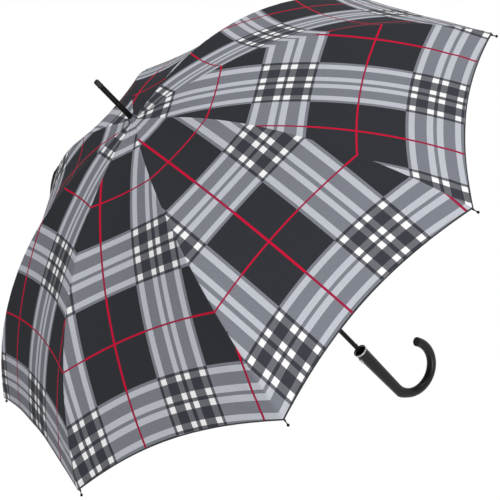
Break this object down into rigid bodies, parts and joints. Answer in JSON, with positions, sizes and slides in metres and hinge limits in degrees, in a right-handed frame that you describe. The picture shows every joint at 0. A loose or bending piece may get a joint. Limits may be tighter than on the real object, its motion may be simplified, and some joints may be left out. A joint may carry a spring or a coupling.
{
  "type": "stick umbrella",
  "caption": "Open automatic stick umbrella with a tartan domed canopy, scalloped hem, folding ribs, spring runner, push-button latch and a crook handle.",
  "frame": {"origin": "on the shaft axis, in the middle of the straight grip of the crook handle", "axes": "+Z along the shaft towards the ferrule; the crook's plane lies 12.4 degrees clockwise of +X; rib 1 lies along +X"},
  "size_m": [1.0582, 1.0582, 0.8907],
  "materials": {
    "canopy_cloth": "woven tartan polyester in charcoal, greys and white with fine crimson lines",
    "strap_cloth": "plain woven black polyester",
    "black_steel": "semi-gloss black coating on steel",
    "bright_steel": "plated spring steel and pins",
    "chrome": "polished chrome plating",
    "soft_touch_plastic": "matte soft-touch black",
    "black_plastic": "moulded black nylon"
  },
  "bodies": {
    "root": {"shaft_tube": "black_steel", "stop_pin": "bright_steel", "top_notch": "black_plastic", "notch_pin": "bright_steel", "notch_wire": "bright_steel", "canopy_cup": "black_plastic", "ferrule": "black_steel", "ferrule_cap": "black_plastic", "handle": "soft_touch_plastic", "handle_pin": "bright_steel", "handle_collar": "chrome", "button_spring": "bright_steel", "latch_pin": "bright_steel"},
    "runner": {"runner": "black_plastic", "opening_spring": "bright_steel"},
    "upper_slider": {"upper_slider": "black_plastic"},
    "push_button": {"push_button": "chrome"},
    "latch_lever": {"latch_lever": "bright_steel"},
    "rib_1": {"rib_1": "black_steel", "gore_1_near_rib_1": "canopy_cloth", "gore_8_near_rib_1": "canopy_cloth"},
    "stretcher_1": {"stretcher_1": "black_steel"},
    "strut_1": {"strut_1": "black_steel"},
    "rib_2": {"rib_2": "black_steel", "gore_2_near_rib_2": "canopy_cloth", "gore_1_near_rib_2": "canopy_cloth"},
    "stretcher_2": {"stretcher_2": "black_steel"},
    "strut_2": {"strut_2": "black_steel"},
    "rib_3": {"rib_3": "black_steel", "gore_3_near_rib_3": "canopy_cloth", "gore_2_near_rib_3": "canopy_cloth", "tie_strap": "strap_cloth", "strap_snap": "chrome"},
    "stretcher_3": {"stretcher_3": "black_steel"},
    "strut_3": {"strut_3": "black_steel"},
    "rib_4": {"rib_4": "black_steel", "gore_4_near_rib_4": "canopy_cloth", "gore_3_near_rib_4": "canopy_cloth"},
    "stretcher_4": {"stretcher_4": "black_steel"},
    "strut_4": {"strut_4": "black_steel"},
    "rib_5": {"rib_5": "black_steel", "gore_5_near_rib_5": "canopy_cloth", "gore_4_near_rib_5": "canopy_cloth"},
    "stretcher_5": {"stretcher_5": "black_steel"},
    "strut_5": {"strut_5": "black_steel"},
    "rib_6": {"rib_6": "black_steel", "gore_6_near_rib_6": "canopy_cloth", "gore_5_near_rib_6": "canopy_cloth"},
    "stretcher_6": {"stretcher_6": "black_steel"},
    "strut_6": {"strut_6": "black_steel"},
    "rib_7": {"rib_7": "black_steel", "gore_7_near_rib_7": "canopy_cloth", "gore_6_near_rib_7": "canopy_cloth"},
    "stretcher_7": {"stretcher_7": "black_steel"},
    "strut_7": {"strut_7": "black_steel"},
    "rib_8": {"rib_8": "black_steel", "gore_8_near_rib_8": "canopy_cloth", "gore_7_near_rib_8": "canopy_cloth"},
    "stretcher_8": {"stretcher_8": "black_steel"},
    "strut_8": {"strut_8": "black_steel"}
  },
  "joints": [
    {"name": "runner_slide", "type": "slide", "parent": "root", "child": "runner", "axis": [0, 0, -1], "range_m": [0, 0.42489], "stiffness_N_per_m": 60, "springref_m": -0.5},
    {"name": "upper_slide", "type": "slide", "parent": "runner", "child": "upper_slider", "axis": [0, 0, 1], "range_m": [0, 0.12319], "deforming": ["opening_spring"]},
    {"name": "rib_hinge_1", "type": "hinge", "parent": "root", "child": "rib_1", "pos_m": [0.01, 0, 0.675], "axis": [0, 1, 0], "range_deg": [0, 61], "deforming": ["gore_1_near_rib_1", "gore_8_near_rib_1"]},
    {"name": "stretcher_hinge_1", "type": "hinge", "parent": "rib_1", "child": "stretcher_1", "pos_m": [0.29677, 0, 0.60103], "axis": [0, -1, 0], "range_deg": [0, 122]},
    {"name": "strut_hinge_1", "type": "hinge", "parent": "stretcher_1", "child": "strut_1", "pos_m": [0.09602, 0, 0.55389], "axis": [0, 1, 0], "range_deg": [0, 122]},
    {"name": "rib_hinge_2", "type": "hinge", "parent": "root", "child": "rib_2", "pos_m": [0.00707, 0.00707, 0.675], "axis": [-0.7071, 0.7071, 0], "range_deg": [0, 61], "deforming": ["gore_2_near_rib_2", "gore_1_near_rib_2"]},
    {"name": "stretcher_hinge_2", "type": "hinge", "parent": "rib_2", "child": "stretcher_2", "pos_m": [0.20985, 0.20985, 0.60103], "axis": [0.7071, -0.7071, 0], "range_deg": [0, 122]},
    {"name": "strut_hinge_2", "type": "hinge", "parent": "stretcher_2", "child": "strut_2", "pos_m": [0.0679, 0.0679, 0.55389], "axis": [-0.7071, 0.7071, 0], "range_deg": [0, 122]},
    {"name": "rib_hinge_3", "type": "hinge", "parent": "root", "child": "rib_3", "pos_m": [0, 0.01, 0.675], "axis": [-1, 0, 0], "range_deg": [0, 61], "deforming": ["gore_3_near_rib_3", "gore_2_near_rib_3"]},
    {"name": "stretcher_hinge_3", "type": "hinge", "parent": "rib_3", "child": "stretcher_3", "pos_m": [0, 0.29677, 0.60103], "axis": [1, 0, 0], "range_deg": [0, 122]},
    {"name": "strut_hinge_3", "type": "hinge", "parent": "stretcher_3", "child": "strut_3", "pos_m": [0, 0.09602, 0.55389], "axis": [-1, 0, 0], "range_deg": [0, 122]},
    {"name": "rib_hinge_4", "type": "hinge", "parent": "root", "child": "rib_4", "pos_m": [-0.00707, 0.00707, 0.675], "axis": [-0.7071, -0.7071, 0], "range_deg": [0, 61], "deforming": ["gore_4_near_rib_4", "gore_3_near_rib_4"]},
    {"name": "stretcher_hinge_4", "type": "hinge", "parent": "rib_4", "child": "stretcher_4", "pos_m": [-0.20985, 0.20985, 0.60103], "axis": [0.7071, 0.7071, 0], "range_deg": [0, 122]},
    {"name": "strut_hinge_4", "type": "hinge", "parent": "stretcher_4", "child": "strut_4", "pos_m": [-0.0679, 0.0679, 0.55389], "axis": [-0.7071, -0.7071, 0], "range_deg": [0, 122]},
    {"name": "rib_hinge_5", "type": "hinge", "parent": "root", "child": "rib_5", "pos_m": [-0.01, 0, 0.675], "axis": [0, -1, 0], "range_deg": [0, 61], "deforming": ["gore_5_near_rib_5", "gore_4_near_rib_5"]},
    {"name": "stretcher_hinge_5", "type": "hinge", "parent": "rib_5", "child": "stretcher_5", "pos_m": [-0.29677, 0, 0.60103], "axis": [0, 1, 0], "range_deg": [0, 122]},
    {"name": "strut_hinge_5", "type": "hinge", "parent": "stretcher_5", "child": "strut_5", "pos_m": [-0.09602, 0, 0.55389], "axis": [0, -1, 0], "range_deg": [0, 122]},
    {"name": "rib_hinge_6", "type": "hinge", "parent": "root", "child": "rib_6", "pos_m": [-0.00707, -0.00707, 0.675], "axis": [0.7071, -0.7071, 0], "range_deg": [0, 61], "deforming": ["gore_6_near_rib_6", "gore_5_near_rib_6"]},
    {"name": "stretcher_hinge_6", "type": "hinge", "parent": "rib_6", "child": "stretcher_6", "pos_m": [-0.20985, -0.20985, 0.60103], "axis": [-0.7071, 0.7071, 0], "range_deg": [0, 122]},
    {"name": "strut_hinge_6", "type": "hinge", "parent": "stretcher_6", "child": "strut_6", "pos_m": [-0.0679, -0.0679, 0.55389], "axis": [0.7071, -0.7071, 0], "range_deg": [0, 122]},
    {"name": "rib_hinge_7", "type": "hinge", "parent": "root", "child": "rib_7", "pos_m": [0, -0.01, 0.675], "axis": [1, 0, 0], "range_deg": [0, 61], "deforming": ["gore_7_near_rib_7", "gore_6_near_rib_7"]},
    {"name": "stretcher_hinge_7", "type": "hinge", "parent": "rib_7", "child": "stretcher_7", "pos_m": [0, -0.29677, 0.60103], "axis": [-1, 0, 0], "range_deg": [0, 122]},
    {"name": "strut_hinge_7", "type": "hinge", "parent": "stretcher_7", "child": "strut_7", "pos_m": [0, -0.09602, 0.55389], "axis": [1, 0, 0], "range_deg": [0, 122]},
    {"name": "rib_hinge_8", "type": "hinge", "parent": "root", "child": "rib_8", "pos_m": [0.00707, -0.00707, 0.675], "axis": [0.7071, 0.7071, 0], "range_deg": [0, 61], "deforming": ["gore_8_near_rib_8", "gore_7_near_rib_8"]},
    {"name": "stretcher_hinge_8", "type": "hinge", "parent": "rib_8", "child": "stretcher_8", "pos_m": [0.20985, -0.20985, 0.60103], "axis": [-0.7071, -0.7071, 0], "range_deg": [0, 122]},
    {"name": "strut_hinge_8", "type": "hinge", "parent": "stretcher_8", "child": "strut_8", "pos_m": [0.0679, -0.0679, 0.55389], "axis": [0.7071, 0.7071, 0], "range_deg": [0, 122]},
    {"name": "button_press", "type": "slide", "parent": "root", "child": "push_button", "axis": [0.9767, -0.2147, 0], "range_m": [0, 0.0022], "stiffness_N_per_m": 300, "springref_m": -0.002, "deforming": ["button_spring"]},
    {"name": "latch_rock", "type": "hinge", "parent": "root", "child": "latch_lever", "pos_m": [0, 0, 0.053], "axis": [-0.2147, -0.9767, 0], "range_deg": [0, 11]}
  ],
  "couplings": [
    {"joint": "upper_slide", "follows": "runner_slide", "ratio": 0.28876},
    {"joint": "rib_hinge_1", "follows": "runner_slide", "rad_per_m": 2.4975},
    {"joint": "stretcher_hinge_1", "follows": "runner_slide", "rad_per_m": 4.995},
    {"joint": "strut_hinge_1", "follows": "runner_slide", "rad_per_m": 4.995},
    {"joint": "rib_hinge_2", "follows": "runner_slide", "rad_per_m": 2.4975},
    {"joint": "stretcher_hinge_2", "follows": "runner_slide", "rad_per_m": 4.995},
    {"joint": "strut_hinge_2", "follows": "runner_slide", "rad_per_m": 4.995},
    {"joint": "rib_hinge_3", "follows": "runner_slide", "rad_per_m": 2.4975},
    {"joint": "stretcher_hinge_3", "follows": "runner_slide", "rad_per_m": 4.995},
    {"joint": "strut_hinge_3", "follows": "runner_slide", "rad_per_m": 4.995},
    {"joint": "rib_hinge_4", "follows": "runner_slide", "rad_per_m": 2.4975},
    {"joint": "stretcher_hinge_4", "follows": "runner_slide", "rad_per_m": 4.995},
    {"joint": "strut_hinge_4", "follows": "runner_slide", "rad_per_m": 4.995},
    {"joint": "rib_hinge_5", "follows": "runner_slide", "rad_per_m": 2.4975},
    {"joint": "stretcher_hinge_5", "follows": "runner_slide", "rad_per_m": 4.995},
    {"joint": "strut_hinge_5", "follows": "runner_slide", "rad_per_m": 4.995},
    {"joint": "rib_hinge_6", "follows": "runner_slide", "rad_per_m": 2.4975},
    {"joint": "stretcher_hinge_6", "follows": "runner_slide", "rad_per_m": 4.995},
    {"joint": "strut_hinge_6", "follows": "runner_slide", "rad_per_m": 4.995},
    {"joint": "rib_hinge_7", "follows": "runner_slide", "rad_per_m": 2.4975},
    {"joint": "stretcher_hinge_7", "follows": "runner_slide", "rad_per_m": 4.995},
    {"joint": "strut_hinge_7", "follows": "runner_slide", "rad_per_m": 4.995},
    {"joint": "rib_hinge_8", "follows": "runner_slide", "rad_per_m": 2.4975},
    {"joint": "stretcher_hinge_8", "follows": "runner_slide", "rad_per_m": 4.995},
    {"joint": "strut_hinge_8", "follows": "runner_slide", "rad_per_m": 4.995},
    {"joint": "latch_rock", "follows": "button_press", "rad_per_m": 66.195}
  ]
}
